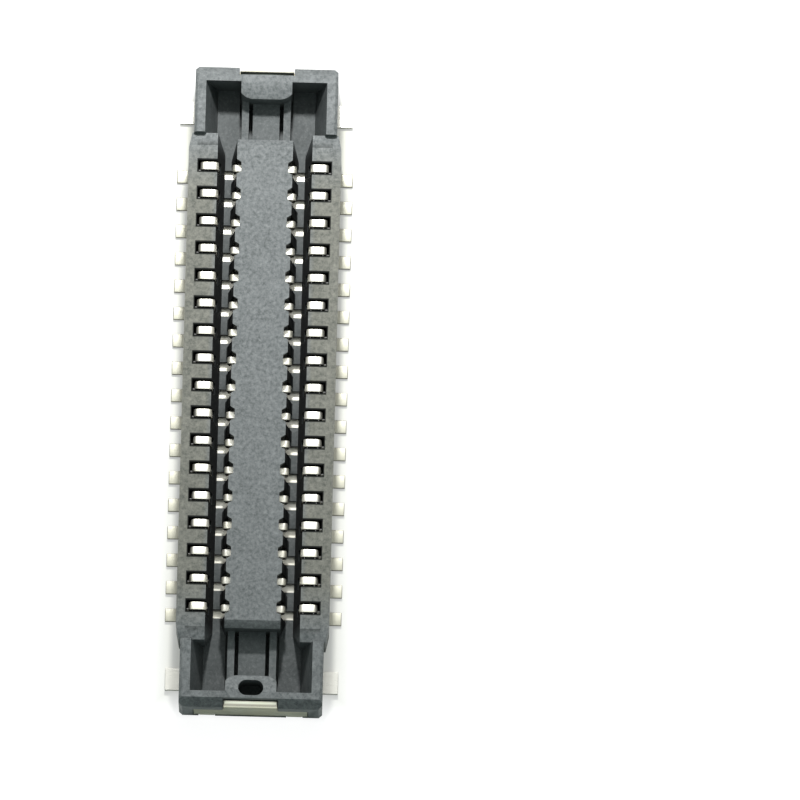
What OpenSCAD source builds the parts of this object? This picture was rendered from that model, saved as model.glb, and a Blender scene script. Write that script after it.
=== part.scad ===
// Two-row board to board socket: a moulded housing, two rows of bent strip contacts
// and a stamped solder bracket at each end.
// X runs across the rows, Y along them and Z up from the board.
// The origin is on the board, under the middle.

/* [Rows] */
// Distance between neighbouring contacts of a row
pitch = 0.8; // [0.7:0.02:1.2]
// Contacts in each row
row_count = 17; // [5:1:25]

/* [Housing across] */
// Width of the web in the middle of the island
spine_w = 0.29; // [0.2:0.01:0.36]
// Width of the centre island
island_w = 1.6; // [1.5:0.02:2]
// Width of the mating groove on each side of the island, at its top
groove_w = 0.56; // [0.5:0.01:0.8]
// How far the island side and the wall side of a groove lean in at its floor
flank = [0.17, 0.21]; // [0.1:0.01:0.24]
// Length over which the flanks run out at the ends of the groove
flank_run = 0.42; // [0.2:0.01:0.5]
// Thickness of a row wall, groove face to outside
row_wall_t = 0.83; // [0.72:0.01:1.1]
// How far each side of an end box stands inside the row walls
side_step = 0.14; // [0.06:0.01:0.2]
// Thickness of an end box side wall at its top
end_side_t = 0.31; // [0.2:0.01:0.36]

/* [Housing along] */
// Length from the last contact to the end of the row walls
row_margin = 0.97; // [0.92:0.01:1.3]
// Length from the last contact to the front and the rear end of the island
island_margin = [0.6, 0.82]; // [0.56:0.01:0.9]
// Length of the guide box between the row walls and the end wall
guide_len = 1.5; // [1.4:0.005:2]
// Thickness of an end wall
end_wall_t = 0.435; // [0.4:0.005:0.6]
// Length of the sloping ends of the row walls
row_ramp_len = 0.45; // [0.2:0.01:0.55]
// How far the sloping ends of the row walls come in from each side
row_taper = 0.09; // [0.02:0.01:0.13]

/* [Housing heights] */
// Height of the end boxes above the board
height = 2.05; // [1.9:0.05:3]
// Gap between the board and the underside of the housing
standoff = 0.06; // [0.02:0.01:0.1]
// How far the row walls stay below the end boxes
row_drop = 0.1; // [0.04:0.01:0.2]
// How far the sloping ends of the row walls come down
row_ramp_drop = 0.12; // [0.04:0.01:0.2]
// How far the island stays below the end boxes
island_drop = 0.14; // [0.05:0.01:0.3]
// Length and height of the sloping ends of the island
island_ramp = [0.22, 0.16]; // [0.1:0.01:0.3]
// Thickness of the island over the contact pockets
roof_t = 0.2; // [0.12:0.01:0.3]
// Thickness of the floor between the ribs of the guide boxes
floor_t = 0.24; // [0.15:0.01:0.3]
// Height of the groove floor above it
groove_lift = 0.2; // [0.16:0.01:0.3]
// Height of the relief under the row walls, which shows the solder tails
wall_relief = 0.28; // [0.2:0.01:0.34]

/* [Guide box] */
// Half width and height above the floor of the middle block
middle_block = [0.385, 0.8]; // [0.2:0.005:0.9]
// Distance to the middle, width and height above the floor of each thin rib
thin_rib = [0.5, 0.2, 0.9]; // [0.1:0.01:1]
// Half width, length, half width of the flat nose and depth of its corners, of the bump in the end box
bump = [0.73, 0.485, 0.38, 0.16]; // [0.1:0.005:1]
// How far the top of the bump comes down towards its nose
bump_drop = 0.16; // [0.02:0.01:0.3]
// Chamfer on the outer top edge of an end wall
end_chamfer = 0.25; // [0.05:0.01:0.25]
// Chamfer on the lower edge of an end wall
foot_chamfer = 0.12; // [0.05:0.01:0.14]
// Chamfer on the outer top edges of the end box sides
side_chamfer = 0.08; // [0.02:0.01:0.12]
// Chamfer on the upright corners of the end boxes
corner_chamfer = 0.1; // [0.04:0.01:0.15]
// Width, length and depth of the oval gate recess in the front bump
gate = [0.72, 0.46, 1.2]; // [0.2:0.01:1.4]
// Thickness of the wall between the gate recess and the nose of the bump
gate_wall = 0.13; // [0.06:0.01:0.16]
// Diameter and depth of the ejector pin marks under the end boxes
ejector = [0.58, 0.03]; // [0.02:0.01:0.6]

/* [Contacts] */
// Thickness of the contact strip
contact_t = 0.1; // [0.08:0.01:0.12]
// Inside radius of the bends
bend_r = 0.03; // [0.02:0.01:0.06]
// Width of the solder tail
tail_w = 0.38; // [0.3:0.01:0.44]
// How far the solder tail stands out from the row wall
tail_reach = 0.34; // [0.2:0.01:0.6]
// Width of the clip that straddles the row wall
clip_w = 0.23; // [0.16:0.01:0.28]
// Outside span of the clip across the row wall
clip_span = 0.52; // [0.45:0.01:0.56]
// How far the clip stands proud of the groove edge
clip_proud = 0.04; // [0.01:0.01:0.06]
// How far the clip stays below the row wall
clip_drop = 0.05; // [0:0.01:0.1]
// Width of the strip in the floor window
strip_w = 0.38; // [0.3:0.01:0.42]
// Height of the strip above the underside of the housing
strip_lift = 0.14; // [0.1:0.01:0.2]
// Distance from the middle plane to the root of the spring
root_x = 0.3; // [0.28:0.01:0.36]
// Width of the spring at its tip
tip_w = 0.21; // [0.16:0.01:0.24]
// Distance from the middle plane to the inner bend of the crest of the spring, and width of the crest
crest = [0.6, 0.29]; // [0.2:0.01:0.62]
// Depth of the crest below the island roof
crest_drop = 0.14; // [0.1:0.01:0.2]
// How far the end of the spring turns back inwards, and hangs below the crest
hook = [0.05, 0.36]; // [0.02:0.01:0.5]

/* [Fits] */
// Clearance between a clip and the sides of its wall slot
slot_gap = 0.05; // [0.02:0.01:0.08]
// Clearance between a clip and the outer end of its wall slot
slot_end_gap = 0.07; // [0.03:0.01:0.1]
// Clearance between the strip and the sides of its window
window_gap = 0.06; // [0.03:0.01:0.08]
// Clearance behind flat metal faces
seat_gap = 0.02; // [0.01:0.005:0.03]
// Width of the throat in the groove floor, where the strip shows
throat_w = 0.26; // [0.22:0.01:0.36]
// Depth of the notch for each spring crest in the edge of the island
notch_depth = 0.13; // [0.08:0.01:0.2]
// Width of that notch at its bottom and at the island edge
notch_w = [0.27, 0.43]; // [0.25:0.01:0.5]

/* [Solder brackets] */
// Thickness of the bracket sheet
sheet_t = 0.15; // [0.1:0.01:0.17]
// Distance from the middle plane to the inner edge, and width, of the arm at the end face
arm = [1.04, 0.43]; // [0.3:0.01:1.1]
// Width of the slanting part of the arm
slant_w = 0.5; // [0.4:0.01:0.55]
// Length along the rows, and reach beyond the end box, of the solder tab
tab = [0.64, 0.43]; // [0.3:0.01:0.8]
// Distance from the end face to the near edge of the tab
tab_inset = 0.72; // [0.6:0.01:0.9]
// Width, and length past the tab, of the short arm that points to the rows
stub = [0.37, 0.25]; // [0.15:0.01:0.4]
// Lower and upper height of the bridge above the board
bridge_z = [0.27, 1.25]; // [0.26:0.01:1.4]
// How far the bridge reaches past the arms on each side
bridge_reach = 0.16; // [0.02:0.01:0.24]
// Half width of the folded lip, and its depth below the end wall
lip = [0.77, 0.28]; // [0.2:0.01:0.8]
// Clearance between the lip and the wall of its recess
lip_gap = 0.03; // [0.02:0.01:0.06]
// Depth of the recess in the end face that shows the lip
lip_recess = 0.24; // [0.23:0.01:0.3]

/* [Hidden] */
// Overrun of a cut past the face it opens
cut = 0.2;
// Steps in a bend of the strip
bend_steps = 4;
// Overlap of two widths of one strip
lap = 0.03;
$fn = 48;

// Places across
spine_x = spine_w / 2;
island_x = island_w / 2;
wall_x = island_x + groove_w;
row_x = wall_x + row_wall_t;
end_x = row_x - side_step;
guide_x = end_x - end_side_t;
foot_x = [island_x + flank[0], wall_x - flank[1]];

// Places along
last_y = (row_count - 1) / 2 * pitch;
island_y = [-last_y - island_margin[0], last_y + island_margin[1]];
row_y = last_y + row_margin;
wall_y = row_y + guide_len;
end_y = wall_y + end_wall_t;
window_w = strip_w + 2 * window_gap;
slot_w = clip_w + 2 * slot_gap;
relief_y = last_y + pitch / 2 + window_gap * 2;

// Heights
row_z = height - row_drop;
island_z = height - island_drop;
roof_z = island_z - roof_t;
floor_z = standoff + floor_t;
groove_z = floor_z + groove_lift;
relief_z = standoff + wall_relief;
// Upper edges of the flanks of a groove, island side and wall side
flank_z = [island_z - island_ramp[1], row_z - row_ramp_drop];
// Slope of the guide walls, width for height
guide_run = (guide_x - wall_x) / (height - floor_z);

// Centre lines of the contact strip
half_t = contact_t / 2;
strip_bend = bend_r + half_t;
clip_in_x = wall_x - clip_proud + half_t;
clip_out_x = clip_in_x + clip_span - contact_t;
clip_z = row_z - clip_drop - half_t;
strip_z = standoff + strip_lift + half_t;
tail_x = row_x + tail_reach;
tail_shoulder_z = relief_z - 2 * seat_gap;
clip_shoulder_z = groove_z + window_gap;
root_point = [root_x, strip_z];
crest_in = [crest[0], roof_z - crest_drop];
crest_out = crest_in + [crest[1], 0];
crest_bend = crest[1] / 2;
hook_point = crest_out - hook;

// Clear edges of the cuts round a contact
window_x = clip_in_x + half_t + seat_gap;
window_z = strip_z + half_t + window_gap;
leg_x = clip_in_x - half_t - seat_gap;
leg_z = clip_shoulder_z + window_gap;
slot_open_z = (groove_z + flank_z[1]) / 2;
slot_x = clip_out_x + half_t + slot_end_gap;
tongue_x = [window_x, clip_out_x - half_t - seat_gap];
tongue_z = clip_z - half_t - seat_gap;
relief_x = (tongue_x[0] + tongue_x[1]) / 2;

// Places of the solder brackets
half_sheet = sheet_t / 2;
sheet_bend = bend_r + half_sheet;
sheet_y = end_y - seat_gap - half_sheet;
arm_mid_x = arm[0] + arm[1] / 2;
arm_out_x = arm[0] + arm[1];
bridge_x = arm_out_x + bridge_reach;
tab_y = end_y - tab_inset - tab[0] / 2;
stub_x = end_x - stub[0] / 2 - side_step;
lip_z = height - lip[1] - half_sheet;
// Sums of X and Y along the inner and the outer edge of the slanting arm
arm_sum = [-slant_w * sqrt(2), 0] + (stub_x + stub[0] / 4 + tab_y + tab[0] / 2) * [1, 1];

SIDES = [["left", -1], ["right", 1]];
ENDS = [["front", -1], ["rear", 1]];
function two_digits(i) = str(i < 10 ? "0" : "", i);
function contact_name(side, i) = str("contact_", side, "_", two_digits(i + 1));
function row_place(i) = last_y - i * pitch;

// Unit vector from one point to another
function heading(a, b) = (b - a) / norm(b - a);
// Point on the bend at corner b between a and c, at share f of its turn, on the side d off the centre line
function bend_place(a, b, c, r, f, d) =
    let (u = heading(a, b), v = heading(b, c))
    let (turn = atan2(u[0] * v[1] - u[1] * v[0], u * v), hand = sign(turn))
    let (start = b - u * r * tan(abs(turn) / 2))
    let (middle = start + hand * r * [-u[1], u[0]], angle = atan2(u[1], u[0]) - 90 * hand + turn * f)
    middle + (r - hand * d) * [cos(angle), sin(angle)];
// One side of a bent strip, d to the left of a centre line of corners
function strip_side(path, r, d) =
    let (last = len(path) - 1)
    let (first_way = heading(path[0], path[1]), last_way = heading(path[last - 1], path[last]))
    concat(
        [path[0] + d * [-first_way[1], first_way[0]]],
        [for (k = [1 : 1 : last - 1]) for (j = [0 : bend_steps])
            bend_place(path[k - 1], path[k], path[k + 1], r, j / bend_steps, d)],
        [path[last] + d * [-last_way[1], last_way[0]]]
    );
function reversed(list) = [for (k = [len(list) - 1 : -1 : 0]) list[k]];
// Bent strip of one width: a centre line in X and Z, given its thickness and carried along Y
module bent_strip(path, r, t, w) {
    rotate([90, 0, 0])
        linear_extrude(w, center = true)
            polygon(concat(strip_side(path, r, t / 2), reversed(strip_side(path, r, -t / 2))));
}
// Profile in X and Z, carried along Y
module along_y(length) {
    rotate([90, 0, 0])
        linear_extrude(length, center = true)
            children();
}
// Profile in Y and Z, carried along X
module along_x(length) {
    rotate([90, 0, 90])
        linear_extrude(length, center = true)
            children();
}
// Box between two corners
module box(low, high) {
    translate(low)
        cube(high - low);
}
module both_sides() {
    children();
    mirror([1, 0, 0])
        children();
}
module both_ends() {
    children();
    mirror([0, 1, 0])
        children();
}

// Row walls and what lies between them, with sloping and tapered ends
module row_block() {
    ramp_y = row_y - row_ramp_len;
    intersection() {
        along_x(2 * row_x)
            polygon([
                [-row_y, standoff], [row_y, standoff], [row_y, row_z - row_ramp_drop], [ramp_y, row_z],
                [-ramp_y, row_z], [-row_y, row_z - row_ramp_drop]
            ]);
        linear_extrude(height)
            polygon([
                [row_x, -ramp_y], [row_x, ramp_y], [row_x - row_taper, row_y], [row_taper - row_x, row_y],
                [-row_x, ramp_y], [-row_x, -ramp_y], [row_taper - row_x, -row_y], [row_x - row_taper, -row_y]
            ]);
    }
}

// Solid of the end box at +Y, chamfered along its outer edges
module end_block() {
    intersection() {
        along_x(2 * end_x)
            polygon([
                [row_y, standoff], [end_y - foot_chamfer, standoff], [end_y, standoff + foot_chamfer],
                [end_y, height - end_chamfer], [end_y - end_chamfer, height], [row_y, height]
            ]);
        linear_extrude(height)
            polygon([
                [-end_x, row_y], [end_x, row_y],
                [end_x, end_y - corner_chamfer], [end_x - corner_chamfer, end_y],
                [corner_chamfer - end_x, end_y], [-end_x, end_y - corner_chamfer]
            ]);
        along_y(2 * (end_y + cut))
            polygon([
                [-end_x, 0], [end_x, 0], [end_x, height - side_chamfer], [end_x - side_chamfer, height],
                [side_chamfer - end_x, height], [-end_x, height - side_chamfer]
            ]);
    }
}

// Space for the plug: between the row walls, and widening upwards between the guide walls
module mating_space() {
    box([-wall_x, -row_y - lap, floor_z], [wall_x, row_y + lap, height + cut]);
    both_ends()
        translate([0, (row_y + wall_y) / 2, 0])
            along_y(guide_len)
                polygon([
                    [-wall_x, floor_z], [wall_x, floor_z],
                    [guide_x + guide_run * cut, height + cut], [-guide_x - guide_run * cut, height + cut]
                ]);
}

// Centre island with sloping ends
module island() {
    top_y = island_y + island_ramp[0] * [1, -1];
    end_z = island_z - island_ramp[1];
    along_x(island_w)
        polygon([
            [island_y[0], standoff], [island_y[1], standoff], [island_y[1], end_z], [top_y[1], island_z],
            [top_y[0], island_z], [island_y[0], end_z]
        ]);
}

// Floor of the groove at +X and of the guide boxes beside it
module groove_floor() {
    floor_x = wall_x + guide_run * groove_lift + lap;
    box([island_x - lap, -wall_y - lap, standoff], [floor_x, wall_y + lap, groove_z]);
}

// One steep side of a groove, from its edge at the top to its foot on the groove floor
module groove_side(edge_x, side_foot_x, top_z, ends) {
    back_x = edge_x + sign(edge_x - side_foot_x) * lap;
    run = flank_run * [1, -1];
    intersection() {
        along_y(2 * row_y)
            polygon([
                [back_x, groove_z - lap], [side_foot_x, groove_z - lap], [side_foot_x, groove_z],
                [edge_x, top_z], [back_x, top_z]
            ]);
        linear_extrude(height)
            polygon([
                [back_x, ends[0]], [edge_x, ends[0]], [side_foot_x, ends[0] + run[0]],
                [side_foot_x, ends[1] + run[1]], [edge_x, ends[1]], [back_x, ends[1]]
            ]);
    }
}

// Bump inside the end wall at +Y, with a rounded nose and a top that falls towards it
module end_bump() {
    nose_y = wall_y - bump[1];
    nose_r = (pow(bump[0] - bump[2], 2) + pow(bump[3], 2)) / (2 * bump[3]);
    intersection() {
        along_x(2 * bump[0])
            polygon([
                [nose_y, standoff], [wall_y + lap, standoff], [wall_y + lap, height], [wall_y, height],
                [nose_y, height - bump_drop]
            ]);
        union() {
            both_sides()
                translate([bump[2], nose_y + nose_r, 0])
                    cylinder(r = nose_r, h = height);
            box([-bump[2], nose_y, 0], [bump[2], wall_y + lap, height]);
            box([-bump[0], nose_y + bump[3], 0], [bump[0], wall_y + lap, height]);
        }
    }
}

// Middle block and thin ribs of both guide boxes, which run on under the island
module guide_ribs() {
    far_y = wall_y + lap;
    box([-middle_block[0], -far_y, standoff], [middle_block[0], far_y, floor_z + middle_block[1]]);
    both_sides()
        box([thin_rib[0], -far_y, standoff], [thin_rib[0] + thin_rib[1], far_y, floor_z + thin_rib[2]]);
}

// Cuts round one contact of the row at +X: wall slot with its tongue, window, pocket, throat and notch
module contact_cuts() {
    low = standoff - cut;
    along_y(slot_w)
        polygon([
            [wall_x - cut, height], [slot_x, height], [slot_x, low], [tongue_x[1], low],
            [tongue_x[1], tongue_z], [tongue_x[0], tongue_z], [tongue_x[0], low], [leg_x, low],
            [leg_x, slot_open_z], [wall_x - cut, slot_open_z]
        ]);
    along_y(window_w)
        polygon([
            [spine_x, low], [window_x, low], [window_x, leg_z], [leg_x, leg_z], [leg_x, window_z],
            [island_x, window_z], [island_x, groove_z],
            [foot_x[0] + lap, groove_z], [foot_x[0] + lap, roof_z], [spine_x, roof_z]
        ]);
    along_y(throat_w)
        polygon([
            [island_x - lap, window_z - lap], [foot_x[1], window_z - lap],
            [foot_x[1], groove_z + lap], [island_x - lap, groove_z + lap]
        ]);
    translate([0, 0, roof_z - lap])
        linear_extrude(height)
            polygon([
                [island_x - notch_depth, -notch_w[0] / 2], [island_x, -notch_w[1] / 2],
                [island_x + lap, -notch_w[1] / 2], [island_x + lap, notch_w[1] / 2],
                [island_x, notch_w[1] / 2], [island_x - notch_depth, notch_w[0] / 2]
            ]);
}

// Outline of one bracket foot at +X and +Y, grown all round by a gap: a tab, a stub and a slanting arm
module foot_outline(gap) {
    inner_sum = arm_sum[0] - gap * sqrt(2);
    outer_sum = arm_sum[1] + gap * sqrt(2);
    arm_x = [arm[0] - gap, arm_out_x + gap];
    stub_xs = [stub_x - stub[0] / 2 - gap, stub_x + stub[0] / 2 + gap];
    tab_ys = [tab_y - tab[0] / 2 - gap, tab_y + tab[0] / 2 + gap];
    tab_x = end_x + tab[1] + gap;
    polygon([
        [arm_x[1], end_y], [arm_x[1], outer_sum - arm_x[1]], [outer_sum - tab_ys[1], tab_ys[1]],
        [tab_x, tab_ys[1]], [tab_x, tab_ys[0]], [stub_xs[1], tab_ys[0]],
        [stub_xs[1], tab_ys[0] - stub[1]], [stub_xs[0], tab_ys[0] - stub[1]],
        [stub_xs[0], inner_sum - stub_xs[0]], [arm_x[0], inner_sum - arm_x[0]], [arm_x[0], end_y]
    ]);
}

// Seats of the bracket at +Y: feet under the housing, bridge and arms in the end face, lip in its top
module bracket_seat() {
    back_y = sheet_y - half_sheet - seat_gap;
    both_sides() {
        translate([0, 0, -cut])
            linear_extrude(cut + sheet_t + seat_gap)
                foot_outline(seat_gap);
        box([arm[0] - seat_gap, back_y, -cut], [arm_out_x + seat_gap, end_y + cut, bridge_z[1]]);
    }
    box([-bridge_x - seat_gap, back_y, bridge_z[0] - seat_gap],
        [bridge_x + seat_gap, end_y + cut, bridge_z[1] + seat_gap]);
    box([-lip[0] - seat_gap, back_y, bridge_z[0]], [lip[0] + seat_gap, end_y + cut, height + cut]);
    box([-lip[0] - seat_gap, end_y - lip_recess, lip_z - half_sheet - seat_gap],
        [lip[0] + seat_gap, end_y + cut, height + cut]);
}

module ejector_marks() {
    for (x = [-1, 1])
        translate([x * (arm[0] - ejector[0] / 2), tab_y + ejector[0] / 4, standoff - cut])
            cylinder(d = ejector[0], h = cut + ejector[1]);
}

// Oval recess left by the moulding gate, in the front bump
module gate_recess() {
    gate_y = bump[1] - wall_y - gate_wall - gate[1] / 2;
    flat = (gate[0] - gate[1]) / 2;
    translate([0, gate_y, height - gate[2]]) {
        for (x = [-flat, flat])
            translate([x, 0, 0])
                cylinder(d = gate[1], h = gate[2] + cut);
        translate([-flat, -gate[1] / 2, 0])
            cube([2 * flat, gate[1], gate[2] + cut]);
    }
}

module housing() {
    color("#4b5150")
        difference() {
            union() {
                difference() {
                    union() {
                        row_block();
                        both_ends()
                            end_block();
                    }
                    mating_space();
                }
                island();
                guide_ribs();
                both_sides() {
                    groove_floor();
                    groove_side(island_x, foot_x[0], flank_z[0], island_y);
                    groove_side(wall_x, foot_x[1], flank_z[1], [-row_y, row_y]);
                }
                both_ends()
                    end_bump();
            }
            both_sides()
                for (i = [0 : row_count - 1])
                    translate([0, row_place(i), 0])
                        contact_cuts();
            both_sides()
                box([relief_x, -relief_y, standoff - cut], [row_x + cut, relief_y, relief_z]);
            both_ends() {
                bracket_seat();
                ejector_marks();
            }
            gate_recess();
        }
}

// Contact of the row at +X: solder tail, clip over the row wall, strip in the window, spring in the island
module contact() {
    color("#e9e6d2") {
        bent_strip([[tail_x, half_t], [clip_out_x, half_t], [clip_out_x, tail_shoulder_z]],
            strip_bend, contact_t, tail_w);
        bent_strip([
            [clip_out_x, tail_shoulder_z - lap], [clip_out_x, clip_z],
            [clip_in_x, clip_z], [clip_in_x, clip_shoulder_z - lap]
        ], strip_bend, contact_t, clip_w);
        spring_way = heading(root_point, crest_in);
        narrow_point = (root_point + crest_in) / 2;
        bent_strip([
            [clip_in_x, clip_shoulder_z], [clip_in_x, strip_z], root_point, narrow_point
        ], strip_bend, contact_t, strip_w);
        bent_strip([
            narrow_point - lap * spring_way, crest_in, crest_out, hook_point
        ], crest_bend, contact_t, tip_w);
    }
}

// Solder bracket of the end at +Y: bridge with a folded lip, two arms folded under, two Y-shaped feet
module hold_down() {
    color("#e4e2d6") {
        foot_y = end_y - tab_inset + arm[1];
        rotate([0, 0, 90]) {
            bent_strip([[end_y - lip_recess + lip_gap, lip_z], [sheet_y, lip_z], [sheet_y, bridge_z[0]]],
                sheet_bend, sheet_t, 2 * lip[0]);
            bent_strip([[sheet_y, bridge_z[0]], [sheet_y, bridge_z[1]]], sheet_bend, sheet_t, 2 * bridge_x);
            for (x = [-arm_mid_x, arm_mid_x])
                translate([0, x, 0])
                    bent_strip([
                        [sheet_y, bridge_z[0] + lap], [sheet_y, half_sheet], [foot_y, half_sheet]
                    ], sheet_bend, sheet_t, arm[1]);
        }
        intersection() {
            both_sides()
                linear_extrude(sheet_t)
                    foot_outline(0);
            box([-tail_x, 0, 0], [tail_x, sheet_y - sheet_bend, sheet_t]);
        }
    }
}

housing();
for (s = SIDES)
    for (i = [0 : row_count - 1])
        mirror([s[1] < 0 ? 1 : 0, 0, 0])
                translate([0, row_place(i), 0])
                    contact();
for (e = ENDS)
    mirror([0, e[1] < 0 ? 1 : 0, 0])
            hold_down();
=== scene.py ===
import math

import bpy
import numpy as np
from mathutils import Matrix, Vector


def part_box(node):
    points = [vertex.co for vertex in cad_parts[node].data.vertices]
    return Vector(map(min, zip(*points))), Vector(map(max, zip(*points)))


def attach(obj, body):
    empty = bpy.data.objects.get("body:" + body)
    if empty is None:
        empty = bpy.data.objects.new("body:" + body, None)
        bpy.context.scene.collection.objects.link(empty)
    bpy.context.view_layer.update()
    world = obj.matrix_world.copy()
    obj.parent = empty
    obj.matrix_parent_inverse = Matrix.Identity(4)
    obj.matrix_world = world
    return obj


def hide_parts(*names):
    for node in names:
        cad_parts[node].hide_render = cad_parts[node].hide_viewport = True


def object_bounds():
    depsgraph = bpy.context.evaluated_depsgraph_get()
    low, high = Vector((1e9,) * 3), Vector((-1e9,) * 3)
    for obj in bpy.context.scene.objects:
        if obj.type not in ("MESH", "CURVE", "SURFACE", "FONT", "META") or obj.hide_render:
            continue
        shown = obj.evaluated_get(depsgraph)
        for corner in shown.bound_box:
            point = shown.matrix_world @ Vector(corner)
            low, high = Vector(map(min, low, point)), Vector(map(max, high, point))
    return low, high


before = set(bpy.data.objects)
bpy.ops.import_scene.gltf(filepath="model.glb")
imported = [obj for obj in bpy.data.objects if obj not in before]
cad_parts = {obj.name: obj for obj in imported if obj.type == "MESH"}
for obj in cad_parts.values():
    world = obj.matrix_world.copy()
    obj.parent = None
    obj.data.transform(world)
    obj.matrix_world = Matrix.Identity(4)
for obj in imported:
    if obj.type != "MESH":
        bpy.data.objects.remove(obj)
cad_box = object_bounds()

MM = 0.001

# The strip contact, in millimetres: its corners run from the tail's tip over the clip and along the floor's
# window to the tip of the spring, at the middle of the sheet.
SHEET = 0.10
BEND, CREST_BEND = 0.08, 0.09
CLIP_X = (1.79, 1.37)
STRIP_Z = 0.25
SPRING = ((0.30, STRIP_Z), (0.60, 1.57), (0.89, 1.57), (0.84, 1.21))
TAIL_W, CLIP_W, STRIP_W, TIP_W = 0.38, 0.23, 0.38, 0.21
TAIL_TOP, STRIP_TOP = 0.30, 0.56
SHOULDER = 0.05
EDGE, TIP_EDGE = 0.022, 0.018

# Steps along each bend, round each edge and at each end of the strip, and along its line to measure it.
BEND_STEPS, EDGE_STEPS, TIP_STEPS, LINE_STEPS = 10, 3, 4, 20000

# Edges of the moulded and stamped pieces: radii and joining distance in millimetres, turns in degrees.
HOUSING_EDGE, BRACKET_EDGE, EDGE_SEGMENTS = 0.022, 0.020, 2
JOIN_WITHIN = 0.0001
FLAT_WITHIN, SHARP_FROM = 0.5, 30.0
FACE_WEIGHT = 100

# Places of the slots, grooves and row walls, from the middle of the part, with the soft ends of their
# masks, and the heights where the masks of the cuts begin and are full, in millimetres.
PITCH = 0.8
SLOT_X, SLOT_HALF_W, SLOT_RIM, SLOT_SOFT = (1.30, 1.93), 0.165, 0.03, 0.015
GROOVE_X, GROOVE_SOFT = (0.80, 1.36), 0.03
FLANK_X, FLANK_SOFT = (1.16, 1.35), 0.01
ROW_WALL_X = (1.30, 1.50)
CUT_Z = (0.36, 0.44)

# Heights of the brackets' feet, bridge and lip, and how much of the rear lip stays bright, from the end of
# the part inwards, in millimetres; further in, the lip carries a painted shadow.
FOOT_Z = (0.18, 0.28)
BRIDGE_Z, BRIDGE_SOFT = (0.25, 1.60), 0.10
LIP_Z, LIP_BRIGHT, LIP_SOFT = (1.55, 2.00), 0.11, 0.02

# The floor's half side in metres, and its halo of painted shadow in millimetres: how far inside the part's
# box it starts, across and along, and how wide it is.
FLOOR_HALF = 1.0
HALO_INSET, HALO_W = (0.4, 1.0), 1.1

# Soft boxes that look at the part: place and size in metres, watts and colour.
SOFT_BOXES = {
    "key": ((0.0, 0.0209, 0.030), (0.0025, 0.0025), 0.0170, (1, 1, 1)),
    "overhead": ((0.0, 0.052, 0.140), (0.150, 0.090), 0.060, (1, 1, 1)),
    "below": ((0.0, 0.0, -0.140), (0.150, 0.150), 0.150, (1, 1, 1)),
    "front": ((0.0, -0.070, 0.110), (0.120, 0.080), 0.0215, (0.84, 1.0, 0.98)),
}

# The photograph's view of the part: where its middle stands in the 800 pixel frame, how large it is, and
# the camera's height and lean in degrees. The camera's distance and how near and far it sees are in metres,
# and its sensor is in millimetres.
PIXELS = 800
PIXELS_PER_MM = 34.93
MIDDLE = (258.8, 385.5)
ELEVATION, LEAN = 80.0, 1.45
DISTANCE = 0.45
SENSOR = 36.0
SEEN_FROM, SEEN_TO = 0.01, 10.0


# Strip contacts


def bent_line(corners, radius, marks):
    """Centreline of a bent strip: the heading stays the same along each straight run and changes at an even
    rate along each arc, and the place is the running sum of the heading's unit vectors. Returns a function
    that gives the places and headings at any lengths from the start, the lengths at the arcs' steps, the
    lengths nearest the marks, and the whole length."""
    corners = np.asarray(corners, float)
    legs = np.diff(corners, axis=0)
    heading = np.unwrap(np.arctan2(legs[:, 1], legs[:, 0]))
    turn = np.abs(np.diff(heading))
    radius = np.asarray(radius, float)
    cut = radius * np.tan(turn / 2)
    runs = np.zeros(2 * len(legs) - 1)
    runs[0::2] = np.hypot(*legs.T) - np.append(cut, 0) - np.append(0, cut)
    runs[1::2] = radius * turn
    knots = np.append(0, np.cumsum(runs))
    fine = np.linspace(0, knots[-1], LINE_STEPS + 1)
    along = np.interp((fine[1:] + fine[:-1]) / 2, knots, np.repeat(heading, 2))
    moves = fine[1] * np.column_stack([np.cos(along), np.sin(along)])
    line = corners[0] + np.vstack([np.zeros(2), np.cumsum(moves, axis=0)])
    near = fine[np.argmin(np.hypot(*(line[:, None] - np.asarray(marks)).T), axis=1)]
    arcs = np.linspace(knots[1:-1:2], knots[2:-1:2], BEND_STEPS + 1).ravel()

    def at(lengths):
        """Places and headings at any lengths from the start, in even shares between the nearest steps."""
        place = np.column_stack([np.interp(lengths, fine, line[:, k]) for k in (0, 1)])
        return place, np.interp(lengths, knots, np.repeat(heading, 2))

    return at, arcs, near, knots[-1]


def rounded_section(half_w, half_t, radius):
    """Rounded rectangle at each row: every corner is a quarter circle of the radius about a point that lies
    the radius inside both sides. Returns the offsets across the width and through the sheet, and how far
    each column looks sideways."""
    quarter = np.linspace(0, math.pi / 2, EDGE_STEPS + 1)
    turn = (quarter + np.arange(4)[:, None] * math.pi / 2).ravel()
    right = np.repeat([1, -1, -1, 1], EDGE_STEPS + 1)
    above = np.repeat([1, 1, -1, -1], EDGE_STEPS + 1)
    across = right * (half_w - radius)[:, None] + radius[:, None] * np.cos(turn)
    through = above * (half_t - radius)[:, None] + radius[:, None] * np.sin(turn)
    return across, through, np.abs(np.cos(turn))


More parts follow.
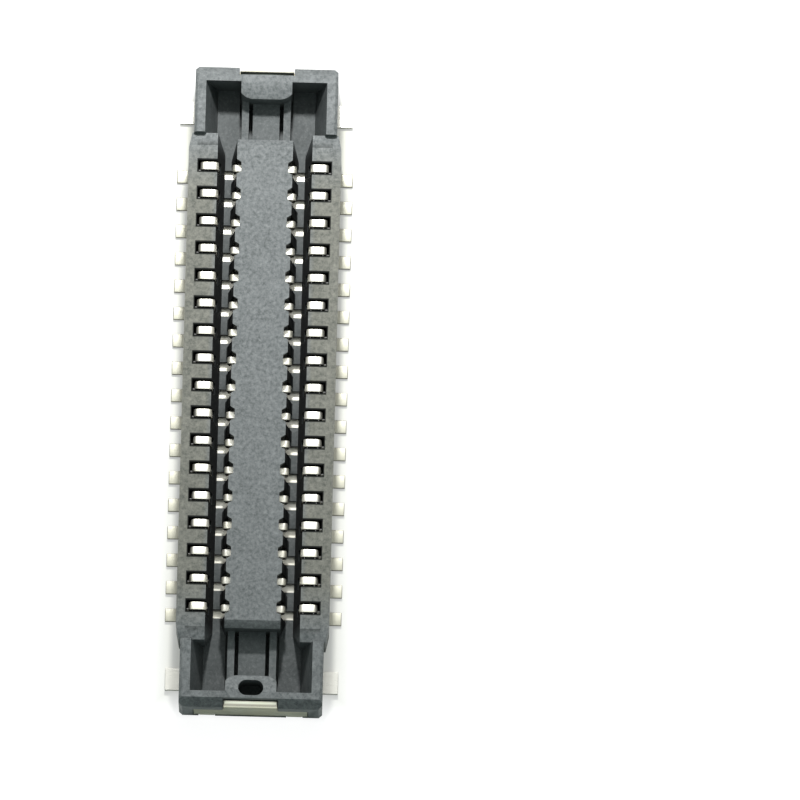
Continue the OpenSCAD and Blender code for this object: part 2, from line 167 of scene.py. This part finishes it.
def contact_surface(tail_x, top_z):
    """Strip contact at the middle of the row: the rounded section is carried along the bent centreline, its
    width steps at three shoulders, and both ends are drawn in along a quarter circle. Returns the points in
    metres as rows by columns, and each point's share of the dark sheared edge, which also paints shade
    along the strip's sides, and of the tinned tail."""
    clip_z = top_z - SHEET / 2
    corners = [
        (tail_x, SHEET / 2),
        (CLIP_X[0], SHEET / 2),
        (CLIP_X[0], clip_z),
        (CLIP_X[1], clip_z),
        (CLIP_X[1], STRIP_Z),
        *SPRING,
    ]
    half_way = np.mean(SPRING[:2], axis=0)
    marks = [(CLIP_X[0], TAIL_TOP), (CLIP_X[1], STRIP_TOP), half_way]
    at, arcs, (tail, strip, tip), end = bent_line(corners, [BEND] * 5 + [CREST_BEND] * 2, marks)
    draw_in = TIP_EDGE * (1 - np.cos(np.linspace(0, math.pi / 2, TIP_STEPS + 1)))
    stops = [0, tail - SHOULDER, tail, strip, strip + SHOULDER, tip - SHOULDER, tip, end]
    widths = [TAIL_W, TAIL_W, CLIP_W, CLIP_W, STRIP_W, STRIP_W, TIP_W, TIP_W]
    rows = np.unique(np.concatenate([draw_in, end - draw_in, stops, arcs]).round(6))
    place, heading = at(rows)
    short = np.clip(TIP_EDGE - np.minimum(rows, end - rows), 0, TIP_EDGE)
    inset = TIP_EDGE - np.sqrt(TIP_EDGE**2 - short**2)
    half_w = np.interp(rows, stops, widths) / 2 - inset
    across, through, sideways = rounded_section(half_w, SHEET / 2 - inset, EDGE - inset)
    x = place[:, :1] - np.sin(heading)[:, None] * through
    z = place[:, 1:] + np.cos(heading)[:, None] * through
    sheared_and_shade = np.maximum((short / TIP_EDGE)[:, None], np.clip(2 * sideways - 1, 0, 1))
    tinned = np.interp(rows, [tail - SHOULDER, tail], [1, 0])[:, None] * np.ones_like(sheared_and_shade)
    return np.stack([x, across, z], axis=-1) * MM, {"sheared_and_shade": sheared_and_shade, "tinned": tinned}


def closed_tube(rows, columns):
    """Faces of a closed tube on a grid: a quad between each two rows and columns, the last column joined to
    the first, and one flat face over each end."""
    grid = np.arange(rows * columns).reshape(rows, columns)
    after = np.roll(grid, -1, axis=1)
    sides = np.stack([grid[:-1], after[:-1], after[1:], grid[1:]], axis=-1).reshape(-1, 4)
    return sides.tolist() + [grid[0, ::-1].tolist(), grid[-1].tolist()]


def contact_piece(name, points, shares, plating):
    """One contact in place of its node: the middle contact's points are moved along the row to the node's
    place and mirrored for the row at -X, which also turns its faces round."""
    low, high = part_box(name)
    side = 1 if low.x + high.x > 0 else -1
    moved = points * (side, 1, 1) + (0, (low.y + high.y) / 2, 0)
    faces = closed_tube(*points.shape[:2])
    if side > 0:
        faces = [face[::-1] for face in faces]
    mesh = bpy.data.meshes.new(name + "_strip")
    mesh.from_pydata(moved.reshape(-1, 3).tolist(), [], faces)
    for label, share in shares.items():
        column = mesh.attributes.new(label, "FLOAT", "POINT")
        column.data.foreach_set("value", share.ravel().astype(np.float32))
    mesh.shade_smooth()
    mesh.materials.append(plating)
    piece = bpy.data.objects.new(name + "_strip", mesh)
    bpy.context.scene.collection.objects.link(piece)
    weigh_normals(piece)
    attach(piece, "root")
    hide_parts(name)


# Edges of the moulded and stamped pieces


def weigh_normals(piece):
    """Large faces keep their own normal, so only the rounded edges shade round."""
    weigh = piece.modifiers.new("face_weight", "WEIGHTED_NORMAL")
    weigh.weight = FACE_WEIGHT


def round_edges(piece, radius):
    """Joins the loose triangles, merges the flat ones and rounds every sharp edge."""
    weld = piece.modifiers.new("join", "WELD")
    weld.merge_threshold = JOIN_WITHIN * MM
    flat = piece.modifiers.new("flat_faces", "DECIMATE")
    flat.decimate_type = "DISSOLVE"
    flat.angle_limit = math.radians(FLAT_WITHIN)
    soft = piece.modifiers.new("edge_radius", "BEVEL")
    soft.width = radius * MM
    soft.segments = EDGE_SEGMENTS
    soft.limit_method = "ANGLE"
    soft.angle_limit = math.radians(SHARP_FROM)
    soft.use_clamp_overlap = True
    weigh_normals(piece)


# Nodes of the finishes


def group(name, inputs, outputs):
    """Shader node group with named number inputs, each with its usual value, and named outputs."""
    tree = bpy.data.node_groups.new(name, "ShaderNodeTree")
    for label, value in inputs.items():
        socket = tree.interface.new_socket(label, in_out="INPUT", socket_type="NodeSocketFloat")
        socket.default_value = value
    for label in outputs:
        tree.interface.new_socket(label, in_out="OUTPUT", socket_type="NodeSocketFloat")
    return tree, tree.nodes.new("NodeGroupInput"), tree.nodes.new("NodeGroupOutput")


def node(tree, kind, links=None, **settings):
    """One node: settings are its properties, and links gives a value or an output for each input socket."""
    made = tree.nodes.new(kind)
    for name, value in settings.items():
        setattr(made, name, value)
    for socket, source in (links or {}).items():
        target = made.inputs[socket]
        if isinstance(source, bpy.types.NodeSocket):
            tree.links.new(source, target)
        else:
            target.default_value = source
    return made


def noise(tree, vector, scale, detail=2.0, rough=0.5):
    """Noise over the piece, with the number of spots per metre as its scale."""
    links = {"Vector": vector, "Scale": scale, "Detail": detail, "Roughness": rough}
    return node(tree, "ShaderNodeTexNoise", links).outputs["Fac"]


def spread(tree, value, low, high, to_low=0.0, to_high=1.0):
    """Maps low to high onto to_low to to_high, held at both ends. It is a mask where those are 0 and 1."""
    links = {"Value": value, "From Min": low, "From Max": high, "To Min": to_low, "To Max": to_high}
    return node(tree, "ShaderNodeMapRange", links).outputs["Result"]


def arithmetic(tree, operation, first, second=0.0, third=0.0):
    """Sum, size or other operation of one to three values."""
    return node(tree, "ShaderNodeMath", {0: first, 1: second, 2: third}, operation=operation).outputs[0]


def product(tree, first, second):
    """Two values or masks multiplied."""
    return arithmetic(tree, "MULTIPLY", first, second)


def between(tree, value, low, high, soft):
    """Mask of the values from low to high, with soft ends, all in millimetres."""
    after = spread(tree, value, (low - soft) * MM, low * MM)
    before = spread(tree, value, high * MM, (high + soft) * MM, 1.0, 0.0)
    return product(tree, after, before)


def place_of(tree):
    """Object coordinates, which are the place in the part, in metres."""
    return tree.nodes.new("ShaderNodeTexCoord").outputs["Object"]


def normal_of(tree):
    """The way the surface looks."""
    return tree.nodes.new("ShaderNodeNewGeometry").outputs["Normal"]


def axes_of(tree, vector):
    """The X, Y and Z of a vector."""
    return node(tree, "ShaderNodeSeparateXYZ", {0: vector}).outputs


def attribute(tree, name):
    """A share that the mesh holds at each of its points."""
    return node(tree, "ShaderNodeAttribute", attribute_name=name).outputs["Fac"]


def blend(tree, share, first, second, way="MIX"):
    """Colour from the first to the second by the share, or to their product where the way is MULTIPLY."""
    links = {0: share, 6: first, 7: second}
    return node(tree, "ShaderNodeMix", links, data_type="RGBA", blend_type=way).outputs[2]


def bump(tree, height, strength, depth):
    """Normal from a height, whose full range is the depth in millimetres."""
    links = {"Height": height, "Strength": strength, "Distance": depth * MM}
    return node(tree, "ShaderNodeBump", links).outputs["Normal"]


# Effects that the finishes share


# Where most values of a soft noise lie, and of the fine rolling lines.
CLOUD_RANGE, LINE_RANGE = (0.3, 0.7), (0.25, 0.75)

# The brightest spots of a noise, which are the fibres, and their scale as a share of the grain's.
FIBRE_RANGE, FIBRE_SCALE = (0.56, 0.72), 0.45

# How far the averaged normal agrees with the true one, off an edge and on it, the samples in that average,
# and how noise breaks the edge up.
EDGE_RANGE, EDGE_SAMPLES = (0.98, 0.80), 6
TORN_RANGE, TORN_SHARE = (0.35, 0.60), (0.35, 1.0)

# Where each mask of the faces begins and is full, by how far up they look: 1 is up, 0 aside and -1 down.
LEVEL_RANGE, STEEP_RANGE, UNDER_RANGE = (0.35, 0.70), (0.65, 0.25), (-0.6, -0.2)

# Heights in metres: where the painted light of the top begins and is full, and where the painted shade of
# the inside is full and ends.
TOP_HEIGHTS = {"Low": 0.0010, "High": 0.0018}
DEEP_HEIGHTS = (0.0009, 0.0014)

# Rolling lines are a noise that is drawn out along X and Z.
ROLLED_STRETCH = (0.02, 1.0, 0.02)


def moulded_skin_group():
    """Skin of a glass-filled moulding: broad cloudy flow marks, a fine mottle, small lighter fibre spots,
    and the grain of an eroded mould as a height."""
    scales = {"Cloud Scale": 1800.0, "Mottle Scale": 9500.0, "Grain Scale": 24000.0}
    tree, inside, out = group("moulded_skin", scales, ["Cloud", "Mottle", "Fibre", "Height"])
    place = place_of(tree)
    cloud = noise(tree, place, inside.outputs["Cloud Scale"], detail=3.0, rough=0.6)
    mottle = noise(tree, place, inside.outputs["Mottle Scale"], detail=4.0, rough=0.7)
    grain = noise(tree, place, inside.outputs["Grain Scale"], detail=2.0, rough=0.65)
    fibre_scale = product(tree, inside.outputs["Grain Scale"], FIBRE_SCALE)
    fibre = noise(tree, place, fibre_scale, detail=1.0, rough=0.5)
    tree.links.new(spread(tree, cloud, *CLOUD_RANGE), out.inputs["Cloud"])
    tree.links.new(spread(tree, mottle, *CLOUD_RANGE), out.inputs["Mottle"])
    tree.links.new(spread(tree, fibre, *FIBRE_RANGE), out.inputs["Fibre"])
    tree.links.new(grain, out.inputs["Height"])
    return tree


def edge_highlight_group():
    """Mask of the convex and concave edges, where a painted highlight goes: how far the surface normal,
    averaged within the radius in metres, leaves the true one, broken up by noise."""
    tree, inside, out = group("edge_highlight", {"Radius": 0.00005, "Break Up": 9000.0}, ["Edge"])
    wide = node(tree, "ShaderNodeBevel", {"Radius": inside.outputs["Radius"]}, samples=EDGE_SAMPLES)
    links = {0: wide.outputs["Normal"], 1: normal_of(tree)}
    agree = node(tree, "ShaderNodeVectorMath", links, operation="DOT_PRODUCT").outputs["Value"]
    rough = noise(tree, place_of(tree), inside.outputs["Break Up"], detail=3.0)
    torn = spread(tree, rough, *TORN_RANGE, *TORN_SHARE)
    tree.links.new(product(tree, spread(tree, agree, *EDGE_RANGE), torn), out.inputs["Edge"])
    return tree


def open_faces_group():
    """Masks by the way a face looks: the level faces near the top of the part, which get painted light, the
    steep faces, which the mould leaves smoother, and the low ones that don't look down, which get painted
    shade."""
    tree, inside, out = group("open_faces", TOP_HEIGHTS, ["Top", "Steep", "Deep"])
    looks_up = axes_of(tree, normal_of(tree))["Z"]
    height = axes_of(tree, place_of(tree))["Z"]
    high = spread(tree, height, inside.outputs["Low"], inside.outputs["High"])
    top = product(tree, spread(tree, looks_up, *LEVEL_RANGE), high)
    low = spread(tree, height, *DEEP_HEIGHTS, 1.0, 0.0)
    deep = product(tree, low, spread(tree, looks_up, *UNDER_RANGE))
    tree.links.new(top, out.inputs["Top"])
    tree.links.new(spread(tree, looks_up, *STEEP_RANGE), out.inputs["Steep"])
    tree.links.new(deep, out.inputs["Deep"])
    return tree


def rolled_sheet_group():
    """Finish of plated strip: fine lines along the rolling direction, which runs across the part, and soft
    clouds where the plating is thicker."""
    scales = {"Line Scale": 60000.0, "Cloud Scale": 1800.0}
    tree, inside, out = group("rolled_sheet", scales, ["Line", "Cloud"])
    place = place_of(tree)
    drawn = node(tree, "ShaderNodeVectorMath", {0: place, 1: ROLLED_STRETCH}, operation="MULTIPLY")
    line = noise(tree, drawn.outputs[0], inside.outputs["Line Scale"], detail=2.0, rough=0.6)
    cloud = noise(tree, place, inside.outputs["Cloud Scale"], detail=2.0)
    tree.links.new(line, out.inputs["Line"])
    tree.links.new(spread(tree, cloud, *CLOUD_RANGE), out.inputs["Cloud"])
    return tree


SKIN = moulded_skin_group()
EDGE_HIGHLIGHT = edge_highlight_group()
OPEN = open_faces_group()
ROLLED = rolled_sheet_group()


def effect(tree, shared, **values):
    """A shared effect placed in a material with its own values."""
    made = node(tree, "ShaderNodeGroup", node_tree=shared)
    for name, value in values.items():
        made.inputs[name.replace("_", " ")].default_value = value
    return made.outputs


def finish(name):
    """New material with only its Principled shader, and the tree it is in."""
    made = bpy.data.materials.new(name)
    made.use_nodes = True
    return made, made.node_tree, made.node_tree.nodes["Principled BSDF"]


# The moulding


# Colours of the plastic: its mottle, the painted light of the top faces, at a fibre, the painted highlight
# of the edges, the painted shade of the inside, and the painted shade of the cuts. The tint multiplies the
# tops of the row walls.
PLASTIC_DARK, PLASTIC_PALE = (0.045, 0.053, 0.053, 1), (0.120, 0.129, 0.130, 1)
TOP_PAINTED_LIGHT, FIBRE, EDGE_PAINTED_LIGHT = (0.306, 0.313, 0.316, 1), (0.33, 0.34, 0.335, 1), (0.26, 0.268, 0.265, 1)
INSIDE_SHADE, CUT_SHADE = (0.028, 0.033, 0.032, 1), (0.003, 0.004, 0.004, 1)
ROW_WALL_TINT = (1.08, 1.01, 0.86, 1)

# How much of each shows. The haze grows with the mottle.
MOTTLE_SHARE, HAZE_SHARE = 0.6, (0.02, 0.36)
FIBRE_SHARE, EDGE_PAINTED_LIGHT_SHARE, INSIDE_SHADE_SHARE, CUT_SHARE = 0.14, 0.22, 0.30, 0.96

# Roughness of open and of steep faces, and what a cut adds. The depth of the grain is in millimetres.
OPEN_ROUGH, STEEP_ROUGH, CUT_ROUGH = 0.66, 0.50, 0.30
GRAIN_STRENGTH, GRAIN_DEPTH = 0.55, 0.006
PLASTIC_GLOSS = 0.3


def row_masks(tree, near_y, far_y):
    """Masks of the two grooves, of the slots with a narrow rim and the grooves' outer flanks, and of the
    row walls. The slots repeat at the pitch, so the distance from the nearest one is a triangle wave."""
    half = PITCH / 2
    axes = axes_of(tree, place_of(tree))
    aside = arithmetic(tree, "ABSOLUTE", axes["X"])
    row = between(tree, axes["Y"], near_y - half, far_y + half, half)
    row = product(tree, row, spread(tree, axes["Z"], CUT_Z[0] * MM, CUT_Z[1] * MM))
    groove = product(tree, row, between(tree, aside, *GROOVE_X, GROOVE_SOFT))
    from_end = arithmetic(tree, "SUBTRACT", axes["Y"], near_y * MM)
    from_slot = arithmetic(tree, "PINGPONG", from_end, half * MM)
    reach = SLOT_HALF_W + SLOT_RIM
    slot = product(tree, row, between(tree, from_slot, -reach, reach, SLOT_SOFT))
    slot = product(tree, slot, between(tree, aside, *SLOT_X, SLOT_SOFT))
    flank = product(tree, row, between(tree, aside, *FLANK_X, FLANK_SOFT))
    wall = spread(tree, aside, ROW_WALL_X[0] * MM, ROW_WALL_X[1] * MM)
    wall = product(tree, wall, between(tree, axes["Y"], near_y + PITCH, far_y - PITCH, 2 * PITCH))
    return groove, arithmetic(tree, "MAXIMUM", slot, flank), wall


def moulded_plastic(near_y, far_y):
    """Dark grey glass-filled plastic: matt, with a painted lighter haze on the top faces, painted
    highlights along the edges and painted shade on the low faces, smoother on its steep faces, and with
    painted shade in the slots and on the sides of the grooves along the rows."""
    made, tree, shader = finish("dark_grey_moulding")
    groove, cut, wall = row_masks(tree, near_y, far_y)
    skin = effect(tree, SKIN)
    edge = effect(tree, EDGE_HIGHLIGHT)
    face = effect(tree, OPEN)
    cloud = product(tree, skin["Cloud"], 1 - MOTTLE_SHARE)
    flow = arithmetic(tree, "MULTIPLY_ADD", skin["Mottle"], MOTTLE_SHARE, cloud)
    body = blend(tree, flow, PLASTIC_DARK, PLASTIC_PALE)
    # Painted light: the level faces near the top get a lighter haze, uneven with the mottle.
    haze = product(tree, face["Top"], spread(tree, skin["Mottle"], 0.0, 1.0, *HAZE_SHARE))
    body = blend(tree, haze, body, TOP_PAINTED_LIGHT)
    body = blend(tree, product(tree, skin["Fibre"], FIBRE_SHARE), body, FIBRE)
    # Painted highlight: the edges are lighter.
    body = blend(tree, product(tree, edge["Edge"], EDGE_PAINTED_LIGHT_SHARE), body, EDGE_PAINTED_LIGHT)
    # Painted shade: the low faces inside the part are darkened.
    body = blend(tree, product(tree, face["Deep"], INSIDE_SHADE_SHARE), body, INSIDE_SHADE)
    body = blend(tree, product(tree, wall, face["Top"]), body, ROW_WALL_TINT, "MULTIPLY")
    # Painted shade: near-black in the slots with their rims, and on the grooves' steep sides and outer
    # flanks.
    shade = arithmetic(tree, "MAXIMUM", product(tree, face["Steep"], groove), cut)
    body = blend(tree, product(tree, shade, CUT_SHARE), body, CUT_SHADE)
    tree.links.new(body, shader.inputs["Base Color"])
    rough = spread(tree, face["Steep"], 0.0, 1.0, OPEN_ROUGH, STEEP_ROUGH)
    rough = arithmetic(tree, "MULTIPLY_ADD", shade, CUT_ROUGH, rough)
    tree.links.new(rough, shader.inputs["Roughness"])
    tree.links.new(bump(tree, skin["Height"], GRAIN_STRENGTH, GRAIN_DEPTH), shader.inputs["Normal"])
    shader.inputs["Specular IOR Level"].default_value = PLASTIC_GLOSS
    return made


# The plated metal


# The contacts' plating where it is thin and thick, the tinned tail, and the dark sheared edge, which is
# also painted shade along the sides of the strip: their colours and roughness, and the strength of the
# rolling lines.
STRIP_THIN, STRIP_THICK = (0.90, 0.885, 0.76, 1), (0.93, 0.92, 0.84, 1)
TINNED, SHEARED_AND_SHADE, SHEARED_AND_SHADE_SHARE = (0.58, 0.575, 0.485, 1), (0.10, 0.083, 0.058, 1), 0.9
STRIP_ROUGH, TINNED_ROUGH, STRIP_STRENGTH = (0.44, 0.56), 0.10, 0.25

# The brackets' plating where it is thin, thick, lighter at the edges as a painted highlight, on the feet,
# and darker tan on the upright bridge, and the painted shadow along the inner edge of the rear lip.
BRACKET_THIN, BRACKET_THICK = (0.88, 0.845, 0.67, 1), (0.93, 0.905, 0.78, 1)
BRACKET_EDGE_PAINTED_LIGHT, BRACKET_EDGE_PAINTED_LIGHT_SHARE = (0.95, 0.94, 0.88, 1), 0.4
FOOT, BRIDGE_TAN, BRIDGE_TAN_SHARE = (0.64, 0.64, 0.585, 1), (0.44, 0.40, 0.27, 1), (0.95, 0.60)
LIP_SHADE = (0.012, 0.014, 0.012, 1)
BRACKET_ROUGH, BRACKET_STRENGTH = (0.24, 0.40), 0.3

# Depth of the rolling lines, in millimetres.
ROLLED_DEPTH = 0.003


def plated_strip():
    """Pale plated copper alloy: cream where the plating is thin, with rolling lines, duller on the tinned
    tail, and dark brown on the sheared edges, which also paints shade along the sides of the strip."""
    made, tree, shader = finish("pale_plated_strip")
    rolled = effect(tree, ROLLED)
    tinned = attribute(tree, "tinned")
    body = blend(tree, rolled["Cloud"], STRIP_THIN, STRIP_THICK)
    body = blend(tree, tinned, body, TINNED)
    # The dark brown of the cut edges, also used as painted shade along the sides of the strip.
    body = blend(tree, product(tree, attribute(tree, "sheared_and_shade"), SHEARED_AND_SHADE_SHARE), body, SHEARED_AND_SHADE)
    tree.links.new(body, shader.inputs["Base Color"])
    lines = spread(tree, rolled["Line"], *LINE_RANGE, *STRIP_ROUGH)
    rough = arithmetic(tree, "MULTIPLY_ADD", tinned, TINNED_ROUGH, lines)
    tree.links.new(rough, shader.inputs["Roughness"])
    tree.links.new(bump(tree, rolled["Line"], STRIP_STRENGTH, ROLLED_DEPTH), shader.inputs["Normal"])
    shader.inputs["Metallic"].default_value = 1.0
    return made


def plated_bracket(end_y):
    """The brackets' plating: duller and yellower than the contacts', with rolling lines and a painted
    highlight along the edges, darker tan on the upright bridge, and a painted shadow along the inner edge
    of the rear lip."""
    made, tree, shader = finish("dull_plated_bracket")
    rolled = effect(tree, ROLLED, Line_Scale=42000.0, Cloud_Scale=1100.0)
    edge = effect(tree, EDGE_HIGHLIGHT, Radius=0.00004)
    axes = axes_of(tree, place_of(tree))
    body = blend(tree, rolled["Cloud"], BRACKET_THIN, BRACKET_THICK)
    # Painted highlight: the bracket's edges are lighter.
    body = blend(tree, product(tree, edge["Edge"], BRACKET_EDGE_PAINTED_LIGHT_SHARE), body, BRACKET_EDGE_PAINTED_LIGHT)
    body = blend(tree, spread(tree, axes["Z"], FOOT_Z[0] * MM, FOOT_Z[1] * MM, 1.0, 0.0), body, FOOT)
    # Darker tan on the upright bridge, patchy with the clouds.
    bridge = between(tree, axes["Z"], *BRIDGE_Z, BRIDGE_SOFT)
    patchy = spread(tree, rolled["Cloud"], 0.0, 1.0, *BRIDGE_TAN_SHARE)
    body = blend(tree, product(tree, bridge, patchy), body, BRIDGE_TAN)
    # Painted shadow: the rear lip is dark along its inner edge, by the housing.
    lip = between(tree, axes["Z"], *LIP_Z, LIP_SOFT)
    inner = between(tree, axes["Y"], 0.0, end_y - LIP_BRIGHT, LIP_SOFT)
    body = blend(tree, product(tree, lip, inner), body, LIP_SHADE)
    tree.links.new(body, shader.inputs["Base Color"])
    tree.links.new(spread(tree, rolled["Line"], *LINE_RANGE, *BRACKET_ROUGH), shader.inputs["Roughness"])
    tree.links.new(bump(tree, rolled["Line"], BRACKET_STRENGTH, ROLLED_DEPTH), shader.inputs["Normal"])
    shader.inputs["Metallic"].default_value = 1.0
    return made


# Floor, light and camera


# Colours of the floor beside the part, darker and yellower as a painted shadow, and away from it, its
# roughness, its glow and how much of that shows.
FLOOR_PAINTED_SHADOW, FLOOR_FAR, FLOOR_ROUGH = (0.52, 0.52, 0.42, 1), (0.90, 0.90, 0.89, 1), 0.8
WHITE, GLOW, GLOW_SHARE = (1, 1, 1, 1), 1.2, (0.25, 0.78)

# The room's light, and the strength of its white walls in reflections.
ROOM, ROOM_STRENGTH, WALLS_REFLECTED = (0.72, 1.0, 0.96, 1), 0.18, 0.42


def pale_floor():
    """Plain near-white board under the part, clear from below and for the light under it. It glows for the
    camera, less beside the part, where its soft shadow falls, and there its colour is darker and yellower
    as a painted shadow."""
    made, tree, shader = finish("pale_floor")
    axes = axes_of(tree, place_of(tree))
    corner = cad_box[1].xy - Vector(HALO_INSET) * MM
    past_x = arithmetic(tree, "SUBTRACT", arithmetic(tree, "ABSOLUTE", axes["X"]), corner.x)
    past_y = arithmetic(tree, "SUBTRACT", arithmetic(tree, "ABSOLUTE", axes["Y"]), corner.y)
    away = spread(tree, arithmetic(tree, "MAXIMUM", past_x, past_y), 0.0, HALO_W * MM)
    # Painted shadow: the floor is darker and yellower beside the part.
    tree.links.new(blend(tree, away, FLOOR_PAINTED_SHADOW, FLOOR_FAR), shader.inputs["Base Color"])
    shader.inputs["Roughness"].default_value = FLOOR_ROUGH
    path = tree.nodes.new("ShaderNodeLightPath").outputs
    glow = node(tree, "ShaderNodeEmission", {"Color": WHITE, "Strength": GLOW}).outputs[0]
    glowing = product(tree, path["Is Camera Ray"], spread(tree, away, 0.0, 1.0, *GLOW_SHARE))
    board = node(tree, "ShaderNodeMixShader", {0: glowing, 1: shader.outputs[0], 2: glow}).outputs[0]
    below = tree.nodes.new("ShaderNodeNewGeometry").outputs["Backfacing"]
    passed = arithmetic(tree, "MAXIMUM", below, path["Is Shadow Ray"])
    clear = tree.nodes.new("ShaderNodeBsdfTransparent").outputs[0]
    seen = node(tree, "ShaderNodeMixShader", {0: passed, 1: board, 2: clear}).outputs[0]
    tree.links.new(seen, tree.nodes["Material Output"].inputs["Surface"])
    return made


def flat_square(name, half):
    """Level square about the origin: both parameters run from minus half to half."""
    u, v = np.meshgrid([-half, half], [-half, half])
    mesh = bpy.data.meshes.new(name)
    points = np.column_stack([u.ravel(), v.ravel(), np.zeros(4)])
    mesh.from_pydata(points.tolist(), [], [(0, 1, 3, 2)])
    made = bpy.data.objects.new(name, mesh)
    bpy.context.scene.collection.objects.link(made)
    return made


def soft_light(name, place, size, watts, colour):
    """Oblong soft box of a width and a depth at a place, turned to the origin."""
    lamp = bpy.data.lights.new(name, "AREA")
    lamp.shape = "RECTANGLE"
    lamp.size, lamp.size_y = size
    lamp.energy = watts
    lamp.color = colour
    made = bpy.data.objects.new(name, lamp)
    made.location = place
    made.rotation_euler = (-Vector(place)).to_track_quat("-Z", "Y").to_euler()
    bpy.context.scene.collection.objects.link(made)


def studio_world():
    """Dim greenish room with white walls, which are bright to the camera and dimmer in reflections."""
    made = bpy.data.worlds.new("studio")
    made.use_nodes = True
    tree = made.node_tree
    room = tree.nodes["Background"]
    room.inputs["Color"].default_value = ROOM
    room.inputs["Strength"].default_value = ROOM_STRENGTH
    path = tree.nodes.new("ShaderNodeLightPath").outputs
    bright = spread(tree, path["Is Glossy Ray"], 0.0, 1.0, 1.0, WALLS_REFLECTED)
    walls = node(tree, "ShaderNodeBackground", {"Color": WHITE, "Strength": bright})
    seen = arithmetic(tree, "MAXIMUM", path["Is Camera Ray"], path["Is Glossy Ray"])
    mixed = node(tree, "ShaderNodeMixShader", {0: seen, 1: room.outputs[0], 2: walls.outputs[0]})
    tree.links.new(mixed.outputs[0], tree.nodes["World Output"].inputs["Surface"])
    return made


def photo_camera(low, high):
    """Camera at the photograph's height and lean, moved aside until the middle of the part's top stands at
    its place in the frame, with a lens that gives the photograph's scale at the part."""
    tilt, lean = math.radians(ELEVATION), math.radians(LEAN)
    level = Vector((1, 0, 0))
    climb = Vector((0, math.sin(tilt), math.cos(tilt)))
    back = Vector((0, -math.cos(tilt), math.sin(tilt)))
    right = math.cos(lean) * level + math.sin(lean) * climb
    up = math.cos(lean) * climb - math.sin(lean) * level
    pixel = MM / PIXELS_PER_MM
    middle = Vector(((low.x + high.x) / 2, (low.y + high.y) / 2, high.z))
    aim = middle + right * (PIXELS / 2 - MIDDLE[0]) * pixel - up * (PIXELS / 2 - MIDDLE[1]) * pixel
    lens = bpy.data.cameras.new("camera")
    lens.sensor_width = SENSOR
    lens.lens = SENSOR * DISTANCE / (PIXELS * pixel)
    lens.clip_start, lens.clip_end = SEEN_FROM, SEEN_TO
    made = bpy.data.objects.new("camera", lens)
    turned = Matrix((right, up, back)).transposed().to_4x4()
    made.matrix_world = Matrix.Translation(aim + back * DISTANCE) @ turned
    bpy.context.scene.collection.objects.link(made)
    return made


# The part

right_row = [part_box(name) for name in sorted(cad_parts) if name.startswith("contact_right")]
row_ends = sorted((low.y + high.y) / 2 / MM for low, high in (right_row[0], right_row[-1]))
moulded = moulded_plastic(*row_ends)
plated = plated_strip()
dull = plated_bracket(cad_box[1].y / MM)

outer_top = right_row[0][1]
strip_points, strip_shares = contact_surface(outer_top.x / MM, outer_top.z / MM)
for name in sorted(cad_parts):
    if name.startswith("contact"):
        contact_piece(name, strip_points, strip_shares, plated)
    else:
        is_housing = name == "housing"
        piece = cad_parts[name]
        piece.data.materials.clear()
        piece.data.materials.append(moulded if is_housing else dull)
        round_edges(piece, HOUSING_EDGE if is_housing else BRACKET_EDGE)

# The set

floor = flat_square("floor", FLOOR_HALF)
floor.data.materials.append(pale_floor())

for name, (place, size, watts, colour) in SOFT_BOXES.items():
    soft_light(name, place, size, watts, colour)

scene = bpy.context.scene
scene.world = studio_world()
scene.view_settings.view_transform = "Standard"
scene.view_settings.look = "None"
scene.camera = photo_camera(*cad_box)
